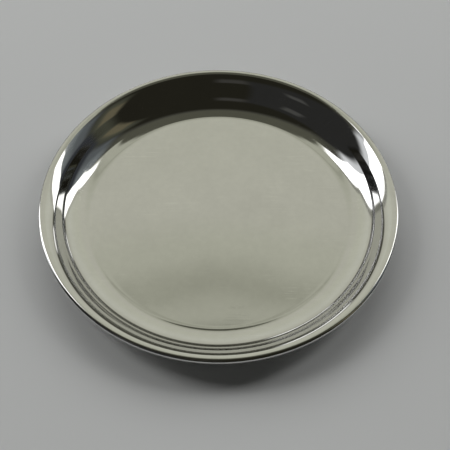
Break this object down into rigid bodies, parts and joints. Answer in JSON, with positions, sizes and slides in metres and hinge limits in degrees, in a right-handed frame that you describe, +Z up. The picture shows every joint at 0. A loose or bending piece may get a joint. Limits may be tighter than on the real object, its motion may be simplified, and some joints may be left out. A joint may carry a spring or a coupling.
{
  "type": "paten plate",
  "caption": "Round shallow polished metal plate with a flat floor, curved wall, flared flange and wired rolled edge, for holding communion bread.",
  "frame": {"origin": "centre of the flat underside the plate stands on", "axes": "+Z up along the axis of revolution, towards the open side; X and Y are level and interchangeable"},
  "size_m": [0.25, 0.25, 0.0209],
  "materials": {
    "polished_sheet": "mirror-polished stainless steel or silver plate, with faint wiping scratches",
    "drawn_wire": "plain drawn wire, hidden inside the rolled edge"
  },
  "bodies": {
    "root": {"dish": "polished_sheet", "rim_wire": "drawn_wire"}
  },
  "joints": []
}
